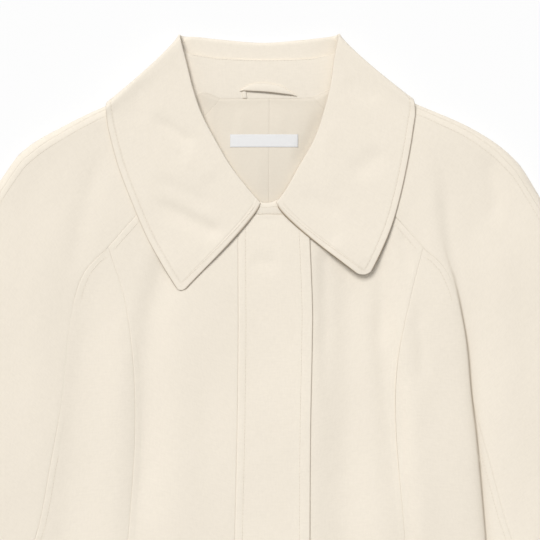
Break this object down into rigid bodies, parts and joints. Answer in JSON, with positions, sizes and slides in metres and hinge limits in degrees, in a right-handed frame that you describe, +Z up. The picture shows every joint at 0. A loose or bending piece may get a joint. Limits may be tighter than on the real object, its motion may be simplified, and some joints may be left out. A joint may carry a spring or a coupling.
{
  "type": "cropped trench jacket",
  "caption": "Cropped raglan trench jacket in cream cotton twill, laid flat on its back with the fly front closed and a pointed collar.",
  "frame": {"origin": "middle of the bounding box's underside, on the surface the jacket lies on", "axes": "+X to the viewer's right across the sleeves, +Y towards the collar, +Z up off the surface"},
  "size_m": [0.9346, 0.6762, 0.021],
  "materials": {
    "shell": "matte cream cotton twill",
    "lining": "smooth beige lining cloth",
    "tape": "plain white woven tape"
  },
  "bodies": {
    "root": {"back": "shell", "front_left": "shell", "front_right": "shell", "placket": "shell", "side_front_left": "shell", "side_front_right": "shell", "sleeve_front_left": "shell", "sleeve_front_right": "shell", "sleeve_back_left": "shell", "sleeve_back_right": "shell", "collar_leaf": "shell", "collar_stand": "shell", "hanger_loop": "shell", "lining_back_left": "lining", "lining_back_right": "lining", "lining_sleeve_left": "lining", "lining_sleeve_right": "lining", "label": "tape"}
  },
  "joints": []
}
